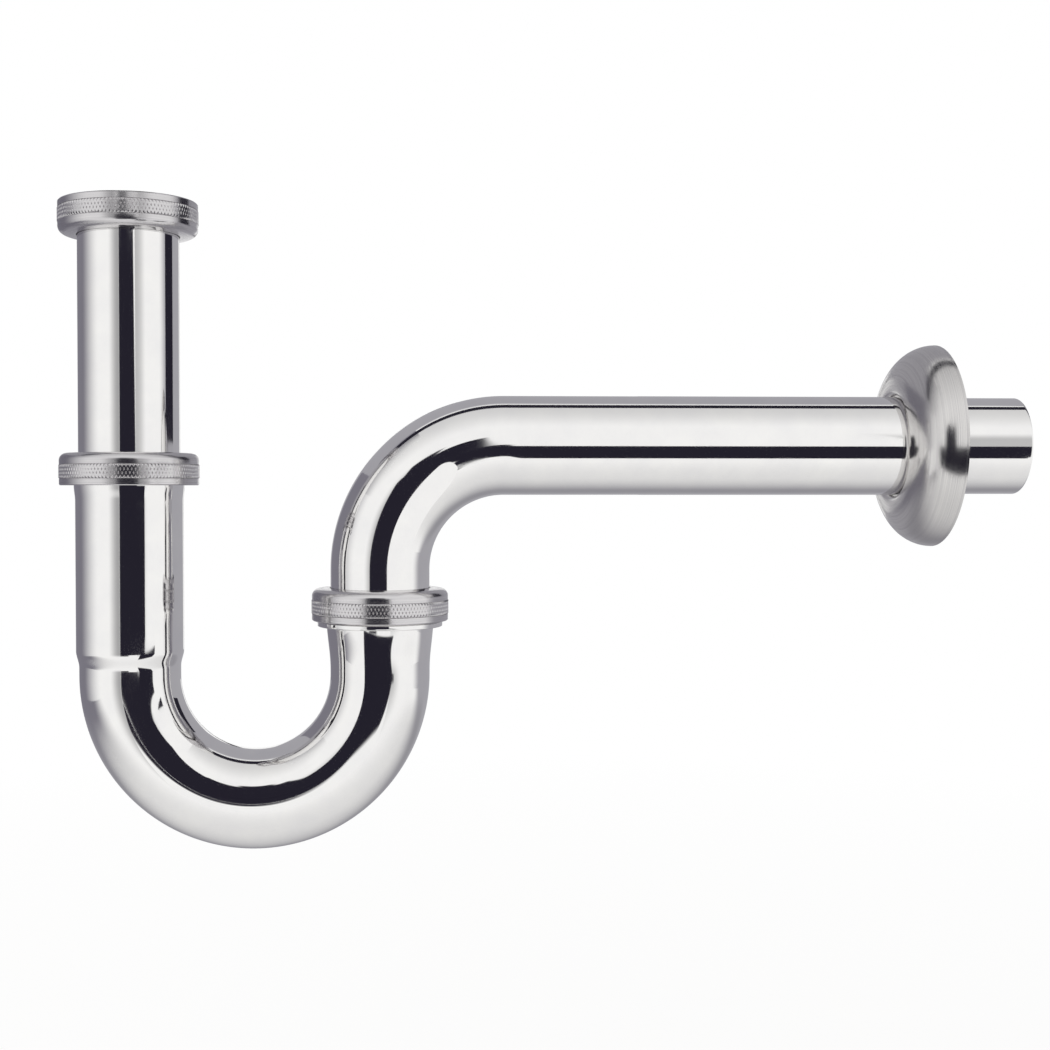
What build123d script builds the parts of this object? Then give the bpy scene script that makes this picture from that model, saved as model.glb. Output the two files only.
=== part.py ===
from build123d import *
import os

# Tubular basin trap in chrome plated brass, in millimetres, +Z up.
# The inlet axis is the Z axis, and z = 0 is the face that the basin waste seals on.
# The outlet runs towards +X, and the whole trap lies in the XZ plane.

# Drawn tube, used for the dip tube, the bend and the wall tube
tube_od = 32.0
tube_wall = 0.9
bend_radius = 40.0

# Union nut, the same turned part three times
nut_wall = 2.474
nut_height = 10.4
nut_plate = 1.8
nut_crown = 0.3
nut_round = 2.2
nut_edge = 0.3
thread_over_tube = 3.476
thread_length = 4.7
thread_lead = 0.6
relief_depth = 1.624
knurl_raise = 0.15
knurl_height = 4.6
knurl_from_mouth = 2.1

# Dip tube and its washer
washer_thick = 2.0
washer_hole_gap = 0.4
flange_thick = 1.2
flange_inner_round = 0.7
dip_show = 68.9
dip_engaged = 27.6

# Clamp joint on each leg of the bend: slip ring, cone seal and threaded collar
slip_ring_thick = 1.0
seal_height = 4.0
seal_band = 1.0
seal_width = 2.9
seal_above_collar = 1.5
collar_below_seal = 3.2
collar_lip = 1.7
collar_lip_out = 0.85
collar_lip_round = 0.4
collar_lip_below_nut = 0.2

# Bend: belled left leg with a step, tapered right socket
leg_wall = 0.85
bell_flare = 0.4
bell_length = 5.1
leg_show = 53.1
step_length = 4.5
step_round = 2.0
step_to_arc = 3.3
socket_show = 3.2
socket_taper = 12.0
socket_round = 8.0
socket_to_arc = 2.3

# Wall tube with its calibrated spigot
wall_tube_engaged = 5.7
riser_show = 5.9
wall_run = 168.4
spigot_step = 0.3
spigot_length = 27.2
spigot_cone = 1.5
spigot_edge = 0.4

# Spun rosette over the hole in the wall
rosette_od = 65.7
rosette_depth = 13.2
rosette_sheet = 0.8
rosette_lip = 1.8
rosette_behind = 27.7

# Clearances
nut_hole_gap = 0.25
leg_gap = 0.15
rosette_gap = 0.4
slip_ring_gap = 0.15
seal_gap = 0.05
seat_gap = 0.05
thread_gap = 0.176
washer_gap = 0.276
nut_float = 0.1

# Values worked out from the driving dimensions
tube_r = tube_od / 2
tube_bore_r = tube_r - tube_wall
leg_bore_r = tube_r + leg_gap
leg_r = leg_bore_r + leg_wall
bell_bore_r = leg_bore_r + bell_flare
bell_r = leg_r + bell_flare
seal_large_r = tube_r + seal_width
spigot_r = tube_r - spigot_step
rosette_r = rosette_od / 2
rosette_hole_r = tube_r + rosette_gap
rosette_crest_r = rosette_hole_r + rosette_lip
thread_minor_r = tube_r + thread_over_tube
relief_r = thread_minor_r + relief_depth
nut_r = thread_minor_r + nut_wall
nut_hole_r = tube_r + nut_hole_gap
collar_r = thread_minor_r - thread_gap
collar_lip_r = collar_r + collar_lip_out
flange_r = thread_minor_r - washer_gap
leg_spacing = 2 * bend_radius

# Heights of the inlet side
flange_top = -washer_thick
flange_under = flange_top - flange_thick
inlet_nut_foot = flange_under - nut_float - nut_plate
inlet_clamp_top = inlet_nut_foot - dip_show
inlet_clamp_mouth = inlet_clamp_top - nut_height
dip_end = inlet_clamp_mouth - dip_engaged

# Heights of the bend
step_top = inlet_clamp_mouth - leg_show
step_foot = step_top - step_length
arc_height = step_foot - step_to_arc
taper_foot = arc_height + socket_to_arc
taper_top = taper_foot + socket_taper
outlet_clamp_mouth = taper_top + socket_show
outlet_clamp_top = outlet_clamp_mouth + nut_height

# Places of the wall tube
elbow_height = outlet_clamp_top + riser_show
wall_tube_foot = outlet_clamp_mouth - wall_tube_engaged
wall_axis_height = elbow_height + bend_radius
elbow_end_x = leg_spacing + bend_radius
wall_end_x = elbow_end_x + wall_run
rosette_rim_x = wall_end_x - rosette_behind


def turned(outline):
    """Solid of revolution about Z from a closed outline drawn as (radius, height)."""
    return revolve(Plane.XZ * outline, Axis.Z)


def outline_of(*points):
    """Closed outline through (radius, height) points."""
    return make_face(Polyline(*points, close=True))


def rounded(outline, point, radius):
    """The outline with the corner at one (radius, height) point rounded."""
    corner = outline.vertices().sort_by_distance((point[0], point[1], 0))[0]
    return fillet(corner, radius)


def pipe_section():
    """Ring-shaped section of the drawn tube."""
    return Circle(tube_r) - Circle(tube_bore_r)


def union_nut():
    """Knurled nut with its plate at z = 0 and its mouth at z = nut_height."""
    knurl_r = nut_r + knurl_raise
    knurl_top = nut_height - knurl_from_mouth
    knurl_foot = knurl_top - knurl_height
    thread_foot = nut_height - thread_lead - thread_length
    corner = (nut_r, nut_crown)
    outline = outline_of(
        (nut_hole_r, 0),
        corner,
        (nut_r, knurl_foot),
        (knurl_r, knurl_foot),
        (knurl_r, knurl_top),
        (nut_r, knurl_top),
        (nut_r, nut_height - nut_edge),
        (nut_r - nut_edge, nut_height),
        (thread_minor_r + thread_lead, nut_height),
        (thread_minor_r, nut_height - thread_lead),
        (thread_minor_r, thread_foot),
        (relief_r, thread_foot),
        (relief_r, nut_plate),
        (nut_hole_r, nut_plate),
    )
    return turned(rounded(outline, corner, nut_round))


def clamp_nut(axis_x, top):
    """Union nut turned mouth down, with its plate at the given height."""
    return Pos(axis_x, 0, top) * Rot(180, 0, 0) * union_nut()


def inlet_washer():
    """Flat rubber washer between the basin waste and the dip tube's flange."""
    hole_r = tube_bore_r + washer_hole_gap
    return turned(outline_of((hole_r, flange_top), (flange_r, flange_top), (flange_r, 0), (hole_r, 0)))


def inlet_tube():
    """Straight dip tube with a flange rolled out at its top."""
    mouth = (tube_bore_r, flange_top)
    outline = outline_of(
        (tube_bore_r, dip_end),
        (tube_r, dip_end),
        (tube_r, flange_under),
        (flange_r, flange_under),
        (flange_r, flange_top),
        mouth,
    )
    return turned(rounded(outline, mouth, flange_inner_round))


def slip_ring(axis_x, clamp_top):
    """Thin plastic ring that lets the nut turn without twisting the seal."""
    top = clamp_top - nut_plate
    hole_r = tube_r + slip_ring_gap
    foot = top - slip_ring_thick
    ring = turned(outline_of((hole_r, foot), (seal_large_r, foot), (seal_large_r, top), (hole_r, top)))
    return Pos(axis_x, 0, 0) * ring


def seal_top(clamp_top):
    """Height of the face that the slip ring presses on."""
    return clamp_top - nut_plate - slip_ring_thick


def cone_seal(axis_x, clamp_top):
    """Rubber ring with a cone that is squeezed between the collar and the tube."""
    top = seal_top(clamp_top)
    hole_r = tube_r + seal_gap
    foot = top - seal_height
    ring = turned(outline_of(
        (hole_r, foot),
        (bell_r - seat_gap, foot),
        (seal_large_r, top - seal_band),
        (seal_large_r, top),
        (hole_r, top),
    ))
    return Pos(axis_x, 0, 0) * ring


def collar_points(clamp_top):
    """Outline of the collar's conical seat, from its bore up to its top edge."""
    seat_foot = seal_top(clamp_top) - seal_height
    cone_rise = seal_height - seal_band
    cone_run = seal_large_r + seat_gap - bell_r
    rise = seal_height - seal_above_collar
    return [
        (collar_r, seat_foot + rise),
        (bell_r + cone_run * rise / cone_rise, seat_foot + rise),
        (bell_r, seat_foot),
    ]


def bend_inlet_collar():
    """Threaded collar brazed on the left leg, all of it inside the clamp nut."""
    foot = seal_top(inlet_clamp_top) - seal_height - collar_below_seal
    return turned(outline_of((bell_r, foot), (collar_r, foot), *collar_points(inlet_clamp_top)))


def bend_outlet_collar():
    """Threaded collar brazed on the right leg, with a lip that shows under the clamp nut."""
    lip_top = outlet_clamp_mouth - collar_lip_below_nut
    lip_foot = lip_top - collar_lip
    outline = outline_of(
        (bell_r, lip_foot),
        (collar_lip_r, lip_foot),
        (collar_lip_r, lip_top),
        (collar_r, lip_top),
        *collar_points(outlet_clamp_top),
    )
    outline = rounded(outline, (collar_lip_r, lip_foot), collar_lip_round)
    return Pos(leg_spacing, 0, 0) * turned(outline)


def left_leg():
    """Left leg of the bend: belled at the top, stepped down to the tube at the foot."""
    top = seal_top(inlet_clamp_top) - seal_height
    bell_foot = inlet_clamp_mouth - bell_length
    outer_step = (leg_r, step_top)
    outer_foot = (tube_r, step_foot)
    inner_step = (leg_bore_r, step_top)
    inner_foot = (tube_bore_r, step_foot)
    outline = outline_of(
        (bell_bore_r, top),
        (bell_r, top),
        (bell_r, inlet_clamp_mouth),
        (leg_r, bell_foot),
        outer_step,
        outer_foot,
        (tube_r, arc_height),
        (tube_bore_r, arc_height),
        inner_foot,
        inner_step,
        (leg_bore_r, bell_foot),
        (bell_bore_r, inlet_clamp_mouth),
    )
    for corner in (outer_step, outer_foot, inner_step, inner_foot):
        outline = rounded(outline, corner, step_round)
    return turned(outline)


def right_leg():
    """Right leg of the bend: a short socket that tapers down to the tube."""
    top = seal_top(outlet_clamp_top) - seal_height
    outline = outline_of(
        (bell_bore_r, top),
        (bell_r, top),
        (bell_r, taper_top),
        (tube_r, taper_foot),
        (tube_r, arc_height),
        (tube_bore_r, arc_height),
        (tube_bore_r, taper_foot),
        (bell_bore_r, taper_top),
    )
    for corner in ((bell_r, taper_top), (bell_bore_r, taper_top)):
        outline = rounded(outline, corner, socket_round)
    return Pos(leg_spacing, 0, 0) * turned(outline)


def trap_bend():
    """U bend with both legs, one piece of drawn tube."""
    start = Pos(0, 0, arc_height) * pipe_section()
    turn = Axis((bend_radius, 0, arc_height), (0, -1, 0))
    return left_leg() + revolve(start, turn, 180) + right_leg()


def wall_tube():
    """Riser, elbow and level run to the wall, ending in a calibrated spigot."""
    riser = Pos(leg_spacing, 0, wall_tube_foot) * extrude(pipe_section(), elbow_height - wall_tube_foot)
    start = Pos(leg_spacing, 0, elbow_height) * pipe_section()
    turn = Axis((elbow_end_x, 0, elbow_height), (0, 1, 0))
    elbow = revolve(start, turn, 90)
    spigot_start = wall_run - spigot_length
    spigot_bore_r = spigot_r - tube_wall
    level = turned(outline_of(
        (tube_bore_r, 0),
        (tube_r, 0),
        (tube_r, spigot_start - spigot_cone),
        (spigot_r, spigot_start),
        (spigot_r, wall_run - spigot_edge),
        (spigot_r - spigot_edge, wall_run),
        (spigot_bore_r, wall_run),
        (spigot_bore_r, spigot_start),
        (tube_bore_r, spigot_start - spigot_cone),
    ))
    level = Pos(elbow_end_x, 0, wall_axis_height) * Rot(0, 90, 0) * level
    return riser + elbow + level


def wall_flange():
    """Spun rosette: a quarter-round dome with its hole's edge turned inwards."""
    dome_high = rosette_r - rosette_crest_r
    lip_foot = rosette_lip - rosette_depth
    crest = (rosette_crest_r, 0)
    lip = (rosette_crest_r, lip_foot)
    outer = EllipticalCenterArc(crest, dome_high, rosette_depth, -90, arc_size=90)
    inner = EllipticalCenterArc(
        crest, dome_high - rosette_sheet, rosette_depth - rosette_sheet, -90, arc_size=90
    )
    lip_outer = CenterArc(lip, rosette_lip, 180, 90)
    lip_inner = CenterArc(lip, rosette_lip - rosette_sheet, 180, 90)
    rim = Line((rosette_r, 0), (rosette_r - rosette_sheet, 0))
    hole_edge = Line(
        (rosette_hole_r, lip_foot),
        (rosette_hole_r + rosette_sheet, lip_foot),
    )
    outline = make_face([outer, rim, inner, lip_inner, hole_edge, lip_outer])
    return Pos(rosette_rim_x, 0, wall_axis_height) * Rot(0, 90, 0) * turned(outline)


pieces = {
    "inlet_nut": Pos(0, 0, inlet_nut_foot) * union_nut(),
    "inlet_washer": inlet_washer(),
    "inlet_tube": inlet_tube(),
    "inlet_clamp_nut": clamp_nut(0, inlet_clamp_top),
    "inlet_slip_ring": slip_ring(0, inlet_clamp_top),
    "inlet_seal": cone_seal(0, inlet_clamp_top),
    "bend_inlet_collar": bend_inlet_collar(),
    "trap_bend": trap_bend(),
    "bend_outlet_collar": bend_outlet_collar(),
    "outlet_clamp_nut": clamp_nut(leg_spacing, outlet_clamp_top),
    "outlet_slip_ring": slip_ring(leg_spacing, outlet_clamp_top),
    "outlet_seal": cone_seal(leg_spacing, outlet_clamp_top),
    "wall_tube": wall_tube(),
    "wall_flange": wall_flange(),
}

os.makedirs("parts", exist_ok=True)
for name, shape in pieces.items():
    export_step(shape, os.path.join("parts", name + ".step"))

print("inlet clamp nut top %.2f, outlet clamp nut top %.2f" % (inlet_clamp_top, outlet_clamp_top))
print("arc centre height %.2f, elbow centre height %.2f" % (arc_height, elbow_height))
print("wall axis height %.2f" % wall_axis_height)
print("wall tube end %.2f, rosette rim %.2f" % (wall_end_x, rosette_rim_x))
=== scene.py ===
import bpy
import bmesh
import math
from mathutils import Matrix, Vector


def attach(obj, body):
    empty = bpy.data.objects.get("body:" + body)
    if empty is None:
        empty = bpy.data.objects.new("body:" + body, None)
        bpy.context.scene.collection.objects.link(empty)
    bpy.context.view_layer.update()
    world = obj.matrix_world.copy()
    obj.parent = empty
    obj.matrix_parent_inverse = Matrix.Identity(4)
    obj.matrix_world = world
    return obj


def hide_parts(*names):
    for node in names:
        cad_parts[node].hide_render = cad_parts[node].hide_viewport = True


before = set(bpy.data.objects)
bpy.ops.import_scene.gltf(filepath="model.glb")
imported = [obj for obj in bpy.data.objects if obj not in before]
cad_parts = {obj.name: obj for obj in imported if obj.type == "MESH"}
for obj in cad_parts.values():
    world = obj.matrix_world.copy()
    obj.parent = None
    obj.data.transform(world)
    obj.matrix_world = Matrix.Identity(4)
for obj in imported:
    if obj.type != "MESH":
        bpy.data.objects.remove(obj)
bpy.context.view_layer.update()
mm = 0.001
legX = 80.0            # axis of the bend's right leg and of the riser
wallZ = -71.5          # axis of the level run to the wall
print("frame loaded:", len(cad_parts), "nodes")


def toLinear(hexColour):
    parts = [int(hexColour[i:i + 2], 16) / 255 for i in (0, 2, 4)]
    return [c / 12.92 if c <= 0.04045 else ((c + 0.055) / 1.055) ** 2.4 for c in parts] + [1.0]


def addNode(tree, kind, settings=None, links=None):
    node = tree.nodes.new(kind)
    for key, value in (settings or {}).items():
        if isinstance(key, str) and hasattr(node, key):
            setattr(node, key, value)
        else:
            node.inputs[key].default_value = value
    for key, (source, output) in (links or {}).items():
        tree.links.new(source.outputs[output], node.inputs[key])
    return node


def newMaterial(name):
    material = bpy.data.materials.new(name)
    material.use_nodes = True
    material.node_tree.nodes.clear()
    return material, material.node_tree


def shadeSurface(tree, look, pattern, height):
    # the pattern leads from the first colour and roughness to the second; the height gives the fine relief
    firstColour, lastColour = look["colours"]
    firstRough, lastRough = look["rough"]
    low, high = look["spread"]
    colour = addNode(tree, "ShaderNodeMix",
                     {"data_type": "RGBA", 6: toLinear(firstColour), 7: toLinear(lastColour)}, {0: pattern})
    haze = addNode(tree, "ShaderNodeMapRange",
                   {"From Min": low, "From Max": high, "To Min": firstRough, "To Max": lastRough}, {"Value": pattern})
    bump = addNode(tree, "ShaderNodeBump", {"Strength": look["bump"], "Distance": look["relief"] * mm},
                   {"Height": height})
    shader = addNode(tree, "ShaderNodeBsdfPrincipled", {"Metallic": look["metal"]},
                     {"Base Color": (colour, 2), "Roughness": (haze, "Result"), "Normal": (bump, "Normal")})
    addNode(tree, "ShaderNodeOutputMaterial", links={"Surface": (shader, "BSDF")})


# Chrome plate on polished, drawn brass tube: a near white mirror with a slight slow waviness from the
# polishing belt, which makes straight reflections waver, and faint cloudy patches.
polishLook = {"colours": ("f7f6f3", "e9e8e9"), "rough": (0.035, 0.075), "spread": (0.3, 0.7), "metal": 1.0,
              "bump": 1.0, "relief": 0.016, "cloudSize": 9.0, "waveSize": 16.0, "beltSize": 1.1, "beltShare": 0.02}


def polishedChrome():
    look = polishLook
    material, tree = newMaterial("polished_chrome_plate")
    coords = addNode(tree, "ShaderNodeTexCoord")
    clouds = addNode(tree, "ShaderNodeTexNoise",
                     {"Scale": 1 / (look["cloudSize"] * mm), "Detail": 4.0, "Roughness": 0.6},
                     {"Vector": (coords, "Object")})
    slow = addNode(tree, "ShaderNodeTexNoise", {"Scale": 1 / (look["waveSize"] * mm), "Detail": 1.0},
                   {"Vector": (coords, "Object")})
    belt = addNode(tree, "ShaderNodeTexNoise", {"Scale": 1 / (look["beltSize"] * mm), "Detail": 2.0},
                   {"Vector": (coords, "Object")})
    height = addNode(tree, "ShaderNodeMath", {"operation": "MULTIPLY_ADD", 1: look["beltShare"]},
                     {0: (belt, "Fac"), 2: (slow, "Fac")})
    shadeSurface(tree, look, (clouds, "Fac"), (height, "Value"))
    return material


# Chrome plate on brass that was left as it came from the lathe: the tool's fine rings stay under the
# plating, so reflections smear across them while the rings themselves show as thin light and dark lines.
turnedLook = {"colours": ("bfbdc1", "e2e0df"), "rough": (0.25, 0.15), "spread": (0.3, 0.7), "metal": 1.0,
              "bump": 0.6, "relief": 0.0035, "lineWidth": 0.16}
# The rosette is pressed over a form on a spinning lathe and brushed there: wider, softer rings.
spunLook = {"colours": ("c3c1c2", "e3e1de"), "rough": (0.25, 0.15), "spread": (0.3, 0.7), "metal": 1.0,
            "bump": 0.6, "relief": 0.005, "lineWidth": 0.3}


def turnedChrome(name, look, axis, centre):
    # rings: noise over the distance from the axis and the place along it
    material, tree = newMaterial(name)
    across, other, along = ("Y", "Z", "X") if axis == "X" else ("X", "Y", "Z")
    coords = addNode(tree, "ShaderNodeTexCoord")
    centred = addNode(tree, "ShaderNodeMapping", {"Location": [-c * mm for c in centre]},
                      {"Vector": (coords, "Object")})
    split = addNode(tree, "ShaderNodeSeparateXYZ", links={"Vector": (centred, "Vector")})
    flat = addNode(tree, "ShaderNodeCombineXYZ", links={"X": (split, across), "Y": (split, other)})
    radius = addNode(tree, "ShaderNodeVectorMath", {"operation": "LENGTH"}, {0: (flat, "Vector")})
    section = addNode(tree, "ShaderNodeCombineXYZ", links={"X": (radius, "Value"), "Y": (split, along)})
    lines = addNode(tree, "ShaderNodeTexNoise",
                    {"noise_dimensions": "2D", "Scale": 1 / (look["lineWidth"] * mm), "Detail": 2.0},
                    {"Vector": (section, "Vector")})
    shadeSurface(tree, look, (lines, "Fac"), (lines, "Fac"))
    return material


# Moulded rubber is matt and charcoal black; moulded polyethylene is milky white with a waxy gloss.
rubberLook = {"colours": ("1d1d1f", "2b2b2c"), "rough": (0.55, 0.75), "spread": (0.0, 1.0), "metal": 0.0,
              "bump": 0.5, "relief": 0.02, "grain": 0.5}
plasticLook = {"colours": ("e4e1d8", "efede6"), "rough": (0.35, 0.5), "spread": (0.0, 1.0), "metal": 0.0,
               "bump": 0.5, "relief": 0.01, "grain": 1.2}


def mouldedFinish(name, look):
    material, tree = newMaterial(name)
    coords = addNode(tree, "ShaderNodeTexCoord")
    grain = addNode(tree, "ShaderNodeTexNoise", {"Scale": 1 / (look["grain"] * mm), "Detail": 3.0},
                    {"Vector": (coords, "Object")})
    shadeSurface(tree, look, (grain, "Fac"), (grain, "Fac"))
    return material


mirror = polishedChrome()
inletTurned = turnedChrome("turned_chrome_plate_inlet", turnedLook, "Z", (0, 0, 0))
outletTurned = turnedChrome("turned_chrome_plate_outlet", turnedLook, "Z", (legX, 0, 0))
spun = turnedChrome("spun_chrome_plate", spunLook, "X", (0, 0, wallZ))
rubber = mouldedFinish("moulded_black_rubber", rubberLook)
plastic = mouldedFinish("moulded_white_polyethylene", plasticLook)
print("materials made:", len(bpy.data.materials))


# Turned shapes: a ring of edges is pulled along its axis and scaled, ring by ring, through (radius, height)
def axisPoint(axis, centre, at):
    x, z = centre
    return (x * mm, 0, (z + at) * mm) if axis == "Z" else ((x + at) * mm, 0, z * mm)


def startRing(name, axis, centre, point, segments):
    bpy.ops.object.select_all(action="DESELECT")
    turn = (0, 0, 0) if axis == "Z" else (0, math.pi / 2, 0)
    bpy.ops.mesh.primitive_circle_add(vertices=segments, radius=point[0] * mm,
                                      location=axisPoint(axis, centre, point[1]), rotation=turn)
    piece = bpy.context.object
    piece.name = name
    piece.data.name = name
    bpy.ops.object.transform_apply(location=True, rotation=True, scale=True)
    bpy.ops.object.mode_set(mode="EDIT")
    bpy.ops.mesh.select_mode(type="EDGE")
    bpy.ops.mesh.select_all(action="SELECT")
    return piece


def pullRing(axis, centre, old, new):
    shift = (new[1] - old[1]) * mm
    move = (0, 0, shift) if axis == "Z" else (shift, 0, 0)
    bpy.ops.mesh.extrude_region_move(TRANSFORM_OT_translate={"value": move})
    k = new[0] / old[0]
    if abs(k - 1) > 1e-9:
        size = (k, k, 1) if axis == "Z" else (1, k, k)
        bpy.ops.transform.resize(value=size, center_override=axisPoint(axis, centre, new[1]))


def pullRings(axis, centre, points):
    for old, new in zip(points, points[1:]):
        pullRing(axis, centre, old, new)


def roundRings(piece, centre, corners, width, steps):
    # rounds the edge rings that lie at the given (radius, height) corners of an upright piece
    near, sameHeight = 0.02 * mm, 0.001 * mm
    base = Vector(axisPoint("Z", centre, 0))
    mesh = bmesh.from_edit_mesh(piece.data)
    bpy.ops.mesh.select_all(action="DESELECT")

    def atCorner(vert):
        off = vert.co - base
        r = math.hypot(off.x, off.y)
        return any(abs(r - c[0] * mm) < near and abs(off.z - c[1] * mm) < near for c in corners)

    found = {v.index for v in mesh.verts if atCorner(v)}
    for edge in mesh.edges:
        a, b = edge.verts
        onRing = a.index in found and b.index in found and abs(a.co.z - b.co.z) < sameHeight
        edge.select = onRing and not edge.is_boundary
    mesh.select_flush_mode()
    bmesh.update_edit_mesh(piece.data)
    bpy.ops.mesh.bevel(offset=width * mm, segments=steps, affect="EDGES", clamp_overlap=True)


def closeShape():
    bpy.ops.mesh.select_all(action="SELECT")
    bpy.ops.mesh.remove_doubles(threshold=0.001 * mm)
    bpy.ops.mesh.normals_make_consistent(inside=False)


def leaveEdit(piece, material, angle=30):
    bpy.ops.object.mode_set(mode="OBJECT")
    bpy.ops.object.select_all(action="DESELECT")
    piece.select_set(True)
    bpy.context.view_layer.objects.active = piece
    bpy.ops.object.shade_smooth_by_angle(angle=math.radians(angle))
    piece.data.materials.clear()
    piece.data.materials.append(material)


def finishSheet(piece, thickness, material):
    # the rings are the outside of a tube or sheet; its wall grows inwards from them
    closeShape()
    bpy.ops.object.mode_set(mode="OBJECT")
    shell = piece.modifiers.new("wall", "SOLIDIFY")
    shell.thickness = thickness * mm
    shell.offset = -1
    shell.use_even_offset = True
    bpy.context.view_layer.objects.active = piece
    bpy.ops.object.modifier_apply(modifier="wall")
    leaveEdit(piece, material, 40)


def place(piece, body, node):
    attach(piece, body)
    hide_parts(node)


def turnedPiece(name, x, outline, material, corners, width, steps, segments=128):
    # closed outline: the last ring lands on the first and is merged with it
    centre = (x, 0)
    piece = startRing(name, "Z", centre, outline[0], segments)
    pullRings("Z", centre, outline + outline[:1])
    closeShape()
    roundRings(piece, centre, corners, width, steps)
    leaveEdit(piece, material)
    return piece


# Pipe thread, 11 turns to the inch: a small ridge section is swept by the Screw modifier and cut off flat
# at both ends. "buried" is how far its root sits in the wall that carries it.
threadLook = {"pitch": 2.309, "rootHalf": 0.85, "crestHalf": 0.25, "steps": 72, "buried": 0.05}


def threadRidge(name, centre, rootR, crestR, low, high, phase, material):
    pitch = threadLook["pitch"]
    way = 1 if crestR > rootR else -1   # winding that keeps the ridge's faces outwards
    root, crest = way * threadLook["rootHalf"], way * threadLook["crestHalf"]
    startR = rootR - way * threadLook["buried"]
    foot = low - 1.5 * pitch + phase
    section = [(startR, -root), (crestR, -crest), (crestR, crest), (startR, root)]
    bpy.ops.object.select_all(action="DESELECT")
    bpy.ops.mesh.primitive_plane_add(size=1, location=(0, 0, 0))
    ridge = bpy.context.object
    ridge.name = name
    bpy.ops.object.mode_set(mode="EDIT")
    mesh = bmesh.from_edit_mesh(ridge.data)
    for vert, (r, h) in zip(list(mesh.faces)[0].verts[:], section):
        vert.co = Vector((r * mm, 0, (foot + h) * mm))
    bmesh.update_edit_mesh(ridge.data)
    bpy.ops.mesh.select_all(action="SELECT")
    bpy.ops.mesh.delete(type="ONLY_FACE")
    bpy.ops.object.mode_set(mode="OBJECT")
    screw = ridge.modifiers.new("thread", "SCREW")
    screw.screw_offset = pitch * mm
    screw.iterations = int((high - low) / pitch) + 3
    screw.steps = threadLook["steps"]
    screw.render_steps = threadLook["steps"]
    screw.use_merge_vertices = False
    bpy.ops.object.modifier_apply(modifier="thread")
    bpy.ops.object.mode_set(mode="EDIT")
    for height, clearOuter in ((low, False), (high, True)):
        bpy.ops.mesh.select_all(action="SELECT")
        bpy.ops.mesh.bisect(plane_co=(0, 0, height * mm), plane_no=(0, 0, 1), use_fill=True,
                            clear_inner=not clearOuter, clear_outer=clearOuter)
    bpy.ops.mesh.select_all(action="SELECT")
    bpy.ops.mesh.normals_make_consistent(inside=False)
    bpy.ops.transform.translate(value=(centre[0] * mm, 0, centre[1] * mm))
    leaveEdit(ridge, material)
    return ridge


def joinInto(piece, other):
    bpy.ops.object.select_all(action="DESELECT")
    piece.select_set(True)
    other.select_set(True)
    bpy.context.view_layer.objects.active = piece
    bpy.ops.object.join()


# Knurled union nut, drawn with its plate at height 0 and its mouth at "height"
nutLook = {"height": 10.4, "bodyR": 21.95, "holeR": 16.25, "crown": 0.3, "round": 2.2, "roundSteps": 8,
           "plate": 1.8, "chamfer": 0.3, "reliefR": 21.1, "reliefSlope": 0.1,
           "knurlFoot": 3.7, "knurlTop": 8.3, "knurlEdge": 0.12, "crestR": 22.1, "grooveR": 21.76,
           "rows": 4, "columns": 240, "flat": 0.5,
           "threadRootR": 20.955, "threadCrestR": 19.52, "threadFrom": 5.1, "threadTo": 9.8}


def nutOutline():
    look = nutLook
    top, body, root = look["height"], look["bodyR"], look["threadRootR"]
    low, high = look["knurlFoot"], look["knurlTop"]
    rowHeight = (high - low) / look["rows"]
    rings = [low] + [low + rowHeight * (i + 0.5) for i in range(look["rows"])] + [high]
    outline = [(look["holeR"], 0), (body, look["crown"]), (body, low - look["knurlEdge"]), (body, low)]
    outline += [(look["grooveR"], h) for h in rings]
    outline += [(body, high), (body, high + look["knurlEdge"]), (body, top - look["chamfer"])]
    outline += [(body - look["chamfer"], top), (root + look["chamfer"], top), (root, top - look["chamfer"])]
    outline += [(root, look["threadFrom"]), (look["reliefR"], look["threadFrom"] - look["reliefSlope"])]
    return outline + [(look["reliefR"], look["plate"]), (look["holeR"], look["plate"])]


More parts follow.
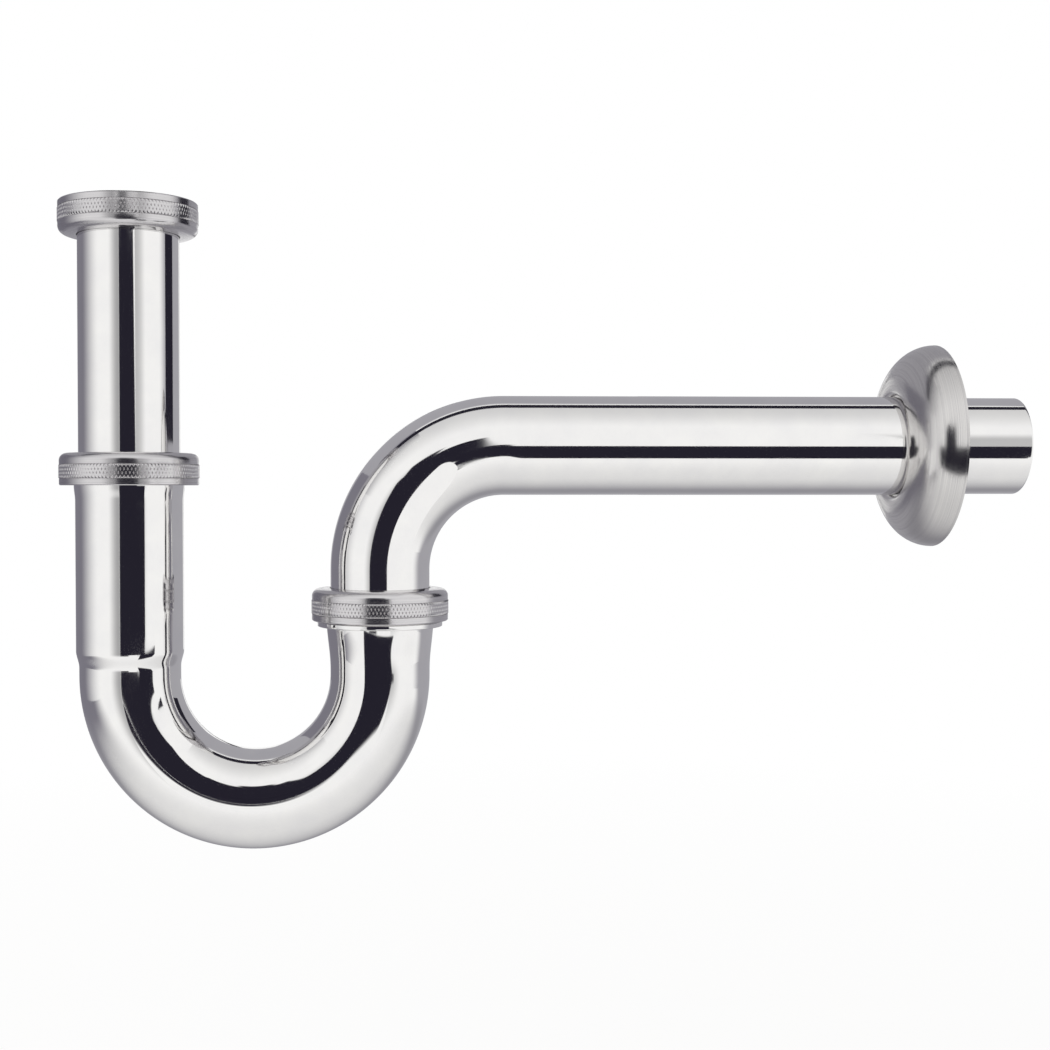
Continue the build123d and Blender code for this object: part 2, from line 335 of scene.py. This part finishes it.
def cutKnurl(piece, centre, side):
    # every other crossing of the knurl grid is pulled out to a point, row by row in turn
    look = nutLook
    rowHeight = (look["knurlTop"] - look["knurlFoot"]) / look["rows"]
    step = 2 * math.pi / look["columns"]
    onGroove = 0.002 * mm
    base = Vector(axisPoint("Z", centre, 0))
    mesh = bmesh.from_edit_mesh(piece.data)
    bpy.ops.mesh.select_mode(type="VERT")
    bpy.ops.mesh.select_all(action="DESELECT")
    for vert in mesh.verts:
        off = vert.co - base
        if abs(math.hypot(off.x, off.y) - look["grooveR"] * mm) < onGroove:
            row = (side * off.z / mm - look["knurlFoot"]) / rowHeight + 0.5
            column = round(math.atan2(off.y, off.x) / step)
            inside = 0.8 < row < look["rows"] + 0.2   # the rings at the band's two edges stay
            vert.select = inside and (round(row) + column) % 2 == 0
    mesh.select_flush_mode()
    bmesh.update_edit_mesh(piece.data)
    point = look["grooveR"] + (look["crestR"] - look["grooveR"]) / (1 - look["flat"])
    k = point / look["grooveR"]
    bpy.ops.transform.resize(value=(k, k, 1), center_override=base)
    # the points are cut back to flat diamonds, and the squares between them are split along the grooves
    bpy.ops.mesh.bevel(offset_type="PERCENT", offset_pct=100 * look["flat"], affect="VERTICES", segments=1)
    slack, squareHeight = 0.01, 0.5
    mesh = bmesh.from_edit_mesh(piece.data)
    bpy.ops.mesh.select_mode(type="FACE")
    bpy.ops.mesh.select_all(action="DESELECT")
    for face in mesh.faces:
        heights = [side * (v.co.z - base.z) / mm for v in face.verts]
        radii = [math.hypot(v.co.x - base.x, v.co.y) / mm for v in face.verts]
        inBand = min(heights) > look["knurlFoot"] - slack and max(heights) < look["knurlTop"] + slack
        outside = min(radii) > look["grooveR"] - slack
        face.select = inBand and outside and max(heights) - min(heights) > squareHeight
    bmesh.update_edit_mesh(piece.data)
    bpy.ops.mesh.quads_convert_to_tris(quad_method="SHORTEST_DIAGONAL", ngon_method="BEAUTY")
    bpy.ops.mesh.select_mode(type="EDGE")


def unionNut(name, centre, side, material):
    # side: 1 with the mouth up, -1 with the mouth down
    look = nutLook
    outline = [(r, side * h) for r, h in nutOutline()]
    piece = startRing(name, "Z", centre, outline[0], look["columns"])
    pullRings("Z", centre, outline + outline[:1])
    closeShape()
    cutKnurl(piece, centre, side)
    roundRings(piece, centre, [(look["bodyR"], side * look["crown"])], look["round"], look["roundSteps"])
    leaveEdit(piece, material, 24)
    low, high = sorted((side * look["threadFrom"], side * look["threadTo"]))
    ridge = threadRidge(name + "Ridge", centre, look["threadRootR"], look["threadCrestR"], low, high, 0, material)
    joinInto(piece, ridge)
    return piece


inletNut = unionNut("inletUnionNut", (0, -5.1), 1, inletTurned)
place(inletNut, "union", "inlet_nut")
inletClamp = unionNut("inletClampNut", (0, -74.0), -1, inletTurned)
place(inletClamp, "inlet_clamp", "inlet_clamp_nut")
outletClamp = unionNut("outletClampNut", (legX, -117.4), -1, outletTurned)
place(outletClamp, "outlet_clamp", "outlet_clamp_nut")
print("nuts made:", len(inletNut.data.polygons), "faces each")


# Straight dip tube with its rolled flange, and the washer on the flange
dipLook = {"outR": 16.0, "inR": 15.1, "foot": -112.0, "chamfer": 0.15, "neck": 0.4, "under": -3.2, "top": -2.0,
           "flangeR": 19.2, "round": 0.4, "segments": 160}
washerLook = {"inR": 15.5, "outR": 19.2, "foot": -2.0, "top": 0.0, "round": 0.25}


def dipTube():
    look = dipLook
    foot, under, top = look["foot"], look["under"], look["top"]
    rim = [(look["flangeR"], under), (look["flangeR"], top), (look["inR"], top)]
    outline = [(look["inR"], foot), (look["outR"] - look["chamfer"], foot), (look["outR"], foot + look["chamfer"])]
    outline += [(look["outR"], under - look["neck"]), (look["outR"], under)] + rim
    return turnedPiece("dipTube", 0, outline, mirror, rim, look["round"], 4, look["segments"])


def flatRing(name, x, inR, outR, foot, top, material, width, steps):
    box = [(inR, foot), (outR, foot), (outR, top), (inR, top)]
    return turnedPiece(name, x, box, material, box, width, steps)


dip = dipTube()
place(dip, "dip", "inlet_tube")
washer = flatRing("inletWasher", 0, washerLook["inR"], washerLook["outR"], washerLook["foot"], washerLook["top"],
                  rubber, washerLook["round"], 3)
place(washer, "dip", "inlet_washer")
print("dip tube and washer made")


# Clamp joint: slip ring, cone seal and threaded collar, the same on both legs
jointLook = {"ringInR": 16.15, "ringOutR": 18.9, "ringThick": 1.0, "play": 0.02, "softRound": 0.15,
             "sealInR": 16.05, "sealOutR": 18.9, "sealFootR": 17.35, "sealBand": 1.0, "sealHeight": 4.0,
             "boreR": 17.4, "collarR": 19.3, "crestR": 20.78, "seatR": 18.69, "aboveSeat": 2.5, "collarFoot": 3.2,
             "lipR": 20.15, "lip": 1.7, "collarRound": 0.35, "runOut": 0.3, "lipRunOut": 0.7, "segments": 160}


def clampJoint(side, x, sealTop, lipTop):
    look = jointLook
    seat = sealTop - look["sealHeight"]
    ring = flatRing(side + "SlipRing", x, look["ringInR"], look["ringOutR"], sealTop,
                    sealTop + look["ringThick"] - look["play"], plastic, look["softRound"], 2)
    place(ring, side + "_clamp_ring", side + "_slip_ring")
    sealBox = [(look["sealInR"], seat), (look["sealFootR"], seat), (look["sealOutR"], sealTop - look["sealBand"]),
               (look["sealOutR"], sealTop), (look["sealInR"], sealTop)]
    seal = turnedPiece(side + "ConeSeal", x, sealBox, rubber, sealBox[2:4], look["softRound"], 2)
    place(seal, "trap", side + "_seal")
    top = seat + look["aboveSeat"]
    mouth = [(look["collarR"], top), (look["seatR"], top), (look["boreR"], seat)]
    if lipTop is None:   # the left collar ends inside its nut
        foot = seat - look["collarFoot"]
        edge = [(look["collarR"], foot)]
        outline = [(look["boreR"], foot)] + edge + mouth
        threadLow = foot + look["runOut"]
    else:                # the right collar has a lip that shows under its nut
        foot = lipTop - look["lip"]
        edge = [(look["lipR"], foot), (look["lipR"], lipTop)]
        outline = [(look["boreR"], foot)] + edge + [(look["collarR"], lipTop)] + mouth
        threadLow = lipTop + look["lipRunOut"]
    collar = turnedPiece(side + "ThreadedCollar", x, outline, mirror, edge, look["collarRound"], 4, look["segments"])
    # the collar's ridge runs half a turn off the nut's, so each lies in the other's groove
    pitch = threadLook["pitch"]
    nutThread = sealTop + look["ringThick"] + nutLook["plate"] - nutLook["threadTo"]
    phase = (nutThread - threadLow) % pitch + pitch / 2
    ridge = threadRidge(side + "CollarRidge", (x, 0), look["collarR"], look["crestR"], threadLow,
                        top - look["runOut"], phase, mirror)
    joinInto(collar, ridge)
    place(collar, "trap", "bend_%s_collar" % side)


clampJoint("inlet", 0, -76.8, None)
clampJoint("outlet", legX, -120.2, -128.0)
print("clamp joints made")


# Bend: one drawn tube, pulled down the left leg, spun round the arc and pulled up the right leg
bendLook = {"wall": 0.85, "radius": 40.0, "arcZ": -145.3, "segments": 160, "arcSteps": 112, "rings": 14,
            "legR": 17.0, "tubeR": 16.0, "bellR": 17.4, "top": -80.8, "bellEnd": (-84.4, -89.5),
            "step": (-136.9, -142.5), "socket": (-143.8, -126.0), "socketTop": -124.2}


def swell(fromR, toR, fromZ, toZ, rings):
    # soft change of radius, as an expanding tool leaves it
    steps = [i / rings for i in range(rings + 1)]
    return [(fromR + (toR - fromR) * (1 - math.cos(math.pi * t)) / 2, fromZ + (toZ - fromZ) * t) for t in steps]


def trapBend():
    look = bendLook
    rings, arcZ = look["rings"], look["arcZ"]
    left = [(look["bellR"], look["top"])] + swell(look["bellR"], look["legR"], *look["bellEnd"], rings)
    left += swell(look["legR"], look["tubeR"], *look["step"], rings) + [(look["tubeR"], arcZ)]
    right = [(look["tubeR"], arcZ)] + swell(look["tubeR"], look["bellR"], *look["socket"], rings)
    right += [(look["bellR"], look["socketTop"])]
    piece = startRing("trapBend", "Z", (0, 0), left[0], look["segments"])
    pullRings("Z", (0, 0), left)
    bpy.ops.mesh.spin(steps=look["arcSteps"], angle=math.pi, center=(look["radius"] * mm, 0, arcZ * mm),
                      axis=(0, 1, 0))
    pullRings("Z", (legX, 0), right)
    finishSheet(piece, look["wall"], mirror)
    return piece


bend = trapBend()
place(bend, "trap", "trap_bend")
print("bend made:", len(bend.data.polygons), "faces")


# Wall tube: riser, a quarter turn and the level run, calibrated a little smaller where it enters the wall
wallLook = {"wall": 0.9, "elbowZ": -111.5, "elbowX": 120.0, "segments": 160, "arcSteps": 56,
            "riser": [(16.0, -133.5), (16.0, -133.2), (16.0, -112.0), (16.0, -111.5)],
            "level": [(16.0, 0.0), (16.0, 0.5), (16.0, 139.2), (16.0, 139.7), (15.7, 141.2), (15.7, 141.6),
                      (15.7, 167.7), (15.7, 168.0), (15.58, 168.28), (15.3, 168.4)]}


def wallTube():
    look = wallLook
    piece = startRing("wallTube", "Z", (legX, 0), look["riser"][0], look["segments"])
    pullRings("Z", (legX, 0), look["riser"])
    bpy.ops.mesh.spin(steps=look["arcSteps"], angle=math.pi / 2,
                      center=(look["elbowX"] * mm, 0, look["elbowZ"] * mm), axis=(0, -1, 0))
    pullRings("X", (look["elbowX"], wallZ), look["level"])
    finishSheet(piece, look["wall"], mirror)
    return piece


wall = wallTube()
place(wall, "outlet", "wall_tube")
print("wall tube made:", len(wall.data.polygons), "faces")


# Rosette: a spun dome of sheet brass whose hole edge is turned in round the tube
rosetteLook = {"rimX": 260.7, "rimR": 32.85, "depth": 13.2, "crestR": 18.2, "lip": 1.8, "sheet": 0.8,
               "steps": 28, "lipSteps": 8, "segments": 192}


def rosette():
    look = rosetteLook
    high = look["rimR"] - look["crestR"]
    lipX = look["lip"] - look["depth"]
    dome = [math.pi / 2 * i / look["steps"] for i in range(look["steps"] + 1)]
    lip = [math.pi / 2 * i / look["lipSteps"] for i in range(1, look["lipSteps"] + 1)]
    points = [(look["crestR"] + high * math.cos(a), -look["depth"] * math.sin(a)) for a in dome]
    points += [(look["crestR"] - look["lip"] * math.sin(a), lipX - look["lip"] * math.cos(a)) for a in lip]
    centre = (look["rimX"], wallZ)
    piece = startRing("wallRosette", "X", centre, points[0], look["segments"])
    pullRings("X", centre, points)
    finishSheet(piece, look["sheet"], spun)
    return piece


flange = rosette()
place(flange, "rosette", "wall_flange")
print("rosette made:", len(flange.data.polygons), "faces")


# Stage cards: only reflections see them, so the chrome has a studio to mirror. Metres, in the shared frame.
def upright(a, b, low, high):
    return [(*a, low), (*b, low), (*b, high), (*a, high)]


def level(z, a, b):
    return [(a[0], a[1], z), (b[0], a[1], z), (b[0], b[1], z), (a[0], b[1], z)]


def facing(y, *corners):
    return [(x, y, z) for x, z in corners]


tones = {"white": "ffffff", "dark": "26242f", "grey": "7f7d87", "pale": "a9a8ae"}
# tone, corners, the share of the card that fades out at each side, and how much a faded card covers
cards = {
    # painted reflections: dark cards for the camera's own dark outline, 0.13 m in front of its lens, and flags before
    # the level run, the left leg and the bend, shaped to paint the dark bands into the chrome; the white shield keeps
    # the flags off the riser and paints a white reflection there
    "paintedCameraOutline": ("dark", upright((-0.086, -0.36), (0.154, -0.36), -0.205, -0.07), {"start": 0.05, "foot": 0.05}),
    "paintedCameraFoot": ("dark", facing(-0.36, (0.150, -0.205), (0.300, -0.205), (0.260, -0.150), (0.150, -0.150)),
                   {"end": 0.05, "foot": 0.18, "top": 0.1}),
    "paintedCameraTop": ("dark", facing(-0.36, (-0.086, -0.07), (0.150, -0.07), (0.128, 0.056), (-0.086, 0.056)),
                  {"start": 0.05, "end": 0.05}),
    "runPaintedFlag": ("dark", facing(-0.1, (0.134, -0.127), (0.33, -0.127), (0.33, -0.076), (0.108, -0.076))),
    "paintedCameraHood": ("dark", upright((-0.055, -0.36), (0.05, -0.36), 0.05, 0.092),
                   {"start": 0.15, "end": 0.15, "top": 0.2}),
    "legPaintedFlag": ("dark", upright((0.055, -0.15), (0.120, -0.15), -0.155, -0.09)),
    "bendPaintedFlag": ("dark", facing(-0.07, (0.030, -0.178), (0.092, -0.178), (0.116, -0.149), (0.036, -0.1445)),
                 {"end": 0.05, "foot": 0.2, "top": 0.05}),
    "paintedCameraFootLeft": ("dark", upright((-0.086, -0.36), (0.045, -0.36), -0.24, -0.2),
                       {"start": 0.1, "end": 0.25, "foot": 0.4}),
    "paintedWhiteShield": ("white", upright((0.105, -0.1), (0.105, -0.018), -0.136, -0.08)),
    # the dimmer sides of the room, and the soft falloff of its roof and floor
    "dimLeft": ("dark", upright((-4.8, -6.05), (-1.45, -6.05), -2.6, 3.4),
                {"start": 0.95, "foot": 0.3, "top": 0.35}, 0.6),
    "dimRight": ("dark", upright((2.5, -6.05), (6.6, -6.05), -2.6, 3.4),
                 {"end": 0.95, "foot": 0.3, "top": 0.35}, 0.45),
    "roofShade": ("dark", level(0.44, (-0.9, -0.6), (1.4, 0.05)), {"foot": 1.0}, 0.3),
    "floorShade": ("dark", level(-0.322, (-0.5, -0.37), (0.8, 0.5)),
                   {"start": 0.3, "end": 0.3, "foot": 0.45, "top": 0.3}, 0.2),
    # narrow flags at the right and above
    "sideFlag": ("dark", upright((0.89, 0.125), (0.74, 0.512), -0.045, 1.0)),
    "topFlag": ("dark", level(0.45, (-0.6, 0.043), (1.2, 0.147))),
    # the grey tent behind the object, with one window
    "leftWall": ("grey", upright((-0.7, -0.4), (-0.7, 1.6), -0.9, 1.3), {"start": 0.38}),
    "rightWall": ("pale", upright((1.0, -0.2), (1.0, 1.6), -0.9, 1.3), {"start": 0.22}),
    "backWall": ("pale", upright((-0.7, 1.6), (1.0, 1.6), -0.9, 1.3)),
    "backWindow": ("white", upright((-0.25, 1.58), (0.45, 1.58), -0.32, 0.28)),
    "backOutline": ("dark", upright((0.04, 1.57), (0.14, 1.57), -0.32, 0.28)),
    "roof": ("pale", level(0.46, (-0.9, 0.15), (1.4, 1.6)), {"foot": 0.05}),
    "backGround": ("pale", level(-0.325, (-0.7, -0.06), (1.0, 1.6)), {"foot": 0.16}),
    "leftGround": ("grey", level(-0.324, (-0.7, -0.4), (-0.06, 1.6)), {"end": 0.7, "foot": 0.2}),
}
# which way along the card's own map each fade runs: axis, where it starts, direction
fadeRuns = {"start": ("X", 0, 1), "end": ("X", 1, -1), "foot": ("Y", 0, 1), "top": ("Y", 1, -1)}


def fadedSurface(tree, glow, fades, cover):
    coords = addNode(tree, "ShaderNodeTexCoord")
    split = addNode(tree, "ShaderNodeSeparateXYZ", links={"Vector": (coords, "UV")})
    share = None
    for side, width in fades.items():
        axis, edge, way = fadeRuns[side]
        ramp = addNode(tree, "ShaderNodeMapRange",
                       {"interpolation_type": "SMOOTHSTEP", "From Min": edge, "From Max": edge + way * width,
                        "To Max": cover if share is None else 1.0}, {"Value": (split, axis)})
        if share is None:
            share = (ramp, "Result")
        else:
            both = addNode(tree, "ShaderNodeMath", {"operation": "MULTIPLY"}, {0: share, 1: (ramp, "Result")})
            share = (both, "Value")
    clear = addNode(tree, "ShaderNodeBsdfTransparent")
    return addNode(tree, "ShaderNodeMixShader", links={0: share, 1: (clear, "BSDF"), 2: (glow, "Emission")})


def studioCard(name, tone, corners, fades=None, cover=1.0):
    bpy.ops.object.select_all(action="DESELECT")
    bpy.ops.mesh.primitive_plane_add(size=1)
    card = bpy.context.object
    card.name = name
    for vert, corner in zip((0, 1, 3, 2), corners):
        card.data.vertices[vert].co = corner
    material, tree = newMaterial(name)
    glow = addNode(tree, "ShaderNodeEmission", {"Color": toLinear(tones[tone]), "Strength": 1.0})
    surface = fadedSurface(tree, glow, fades, cover) if fades else glow
    addNode(tree, "ShaderNodeOutputMaterial", links={"Surface": (surface, 0)})
    card.data.materials.append(material)
    card.visible_camera = False
    card.visible_diffuse = False
    card.visible_shadow = False
    card.visible_transmission = False


for name, card in cards.items():
    studioCard(name, *card)
print("cards set:", len(cards))


def seenRays(tree):
    # 1 for rays that show the backdrop itself, straight or in metal or glass
    rays = addNode(tree, "ShaderNodeLightPath")
    shown = addNode(tree, "ShaderNodeMath", {"operation": "MAXIMUM"},
                    {0: (rays, "Is Camera Ray"), 1: (rays, "Is Glossy Ray")})
    return addNode(tree, "ShaderNodeMath", {"operation": "MAXIMUM"},
                   {0: (shown, "Value"), 1: (rays, "Is Transmission Ray")})


# Floor: matt white paper that keeps the object's shadow
floorLook = {"colour": "f4f3f1", "fibre": "f0efed", "fibreSize": 2.5, "size": 8, "place": (0.1, 3.63), "z": -0.33,
             "under": (0.13, 0.0), "glow": 0.88, "near": 0.25, "far": 0.9}


def paperFinish():
    look = floorLook
    material, tree = newMaterial("floor_paper")
    seen = seenRays(tree)
    coords = addNode(tree, "ShaderNodeTexCoord")
    away = addNode(tree, "ShaderNodeVectorMath", {"operation": "DISTANCE", 1: (*look["under"], look["z"])},
                   {0: (coords, "Object")})
    # the paper turns into the white backdrop away from the object, so that no horizon shows
    backdrop = addNode(tree, "ShaderNodeMapRange",
                       {"From Min": look["near"], "From Max": look["far"], "To Min": look["glow"], "To Max": 1.0},
                       {"Value": (away, "Value")})
    share = addNode(tree, "ShaderNodeMath", {"operation": "MULTIPLY"}, {0: (seen, "Value"), 1: (backdrop, "Result")})
    fibre = addNode(tree, "ShaderNodeTexNoise", {"Scale": 1 / (look["fibreSize"] * mm), "Detail": 2.0},
                    {"Vector": (coords, "Object")})
    paper = addNode(tree, "ShaderNodeMix",
                    {"data_type": "RGBA", 6: toLinear(look["fibre"]), 7: toLinear(look["colour"])},
                    {0: (fibre, "Fac")})
    matt = addNode(tree, "ShaderNodeBsdfDiffuse", links={"Color": (paper, 2)})
    glow = addNode(tree, "ShaderNodeEmission", {"Color": (1, 1, 1, 1), "Strength": 1.0})
    mixed = addNode(tree, "ShaderNodeMixShader",
                    links={0: (share, "Value"), 1: (matt, "BSDF"), 2: (glow, "Emission")})
    addNode(tree, "ShaderNodeOutputMaterial", links={"Surface": (mixed, "Shader")})
    return material


bpy.ops.object.select_all(action="DESELECT")
bpy.ops.mesh.primitive_plane_add(size=floorLook["size"], location=(0, 0, 0))
floor = bpy.context.object
floor.name = "floor"
bpy.ops.object.mode_set(mode="EDIT")
bpy.ops.mesh.select_all(action="SELECT")
bpy.ops.transform.translate(value=(*floorLook["place"], floorLook["z"]))
bpy.ops.object.mode_set(mode="OBJECT")
floor.data.materials.append(paperFinish())

# White world all round, a little dimmer as a light than as a backdrop, and one soft lamp at the left above
worldLook = {"light": 0.75, "backdrop": 1.0}
world = bpy.data.worlds.new("studio")
bpy.context.scene.world = world
world.use_nodes = True
tree = world.node_tree
tree.nodes.clear()
strength = addNode(tree, "ShaderNodeMapRange", {"To Min": worldLook["light"], "To Max": worldLook["backdrop"]},
                   {"Value": (seenRays(tree), "Value")})
sky = addNode(tree, "ShaderNodeBackground", {"Color": (1, 1, 1, 1)}, {"Strength": (strength, "Result")})
addNode(tree, "ShaderNodeOutputWorld", links={"Surface": (sky, "Background")})

lampLook = {"place": (-0.35, -0.35, 0.75), "aim": (0.1, 0, -0.1), "size": 0.7, "power": 4.0}
bpy.ops.object.light_add(type="AREA", location=lampLook["place"])
lamp = bpy.context.object
lamp.data.size = lampLook["size"]
lamp.data.energy = lampLook["power"]
lamp.rotation_euler = (Vector(lampLook["aim"]) - lamp.location).to_track_quat("-Z", "Y").to_euler()
lamp.visible_glossy = False
lamp.visible_camera = False
print("stage set")


# Camera at the photo's place: half a metre in front, level with the wall tube; the frame is shifted to the
# right of its axis
cameraLook = {"place": (0.07587, -0.49, -0.08493), "yaw": 2.937, "pitch": -1.437, "lens": 52.016, "sensor": 36,
              "shift": 80 / 1050, "clip": 0.01}
bpy.ops.object.camera_add(location=cameraLook["place"])
camera = bpy.context.object
camera.rotation_euler = (math.radians(90 + cameraLook["pitch"]), 0, -math.radians(cameraLook["yaw"]))
camera.data.lens = cameraLook["lens"]
camera.data.shift_x = cameraLook["shift"]
camera.data.sensor_width = cameraLook["sensor"]
camera.data.clip_start = cameraLook["clip"]
bpy.context.scene.camera = camera
bpy.context.scene.view_settings.view_transform = "Standard"
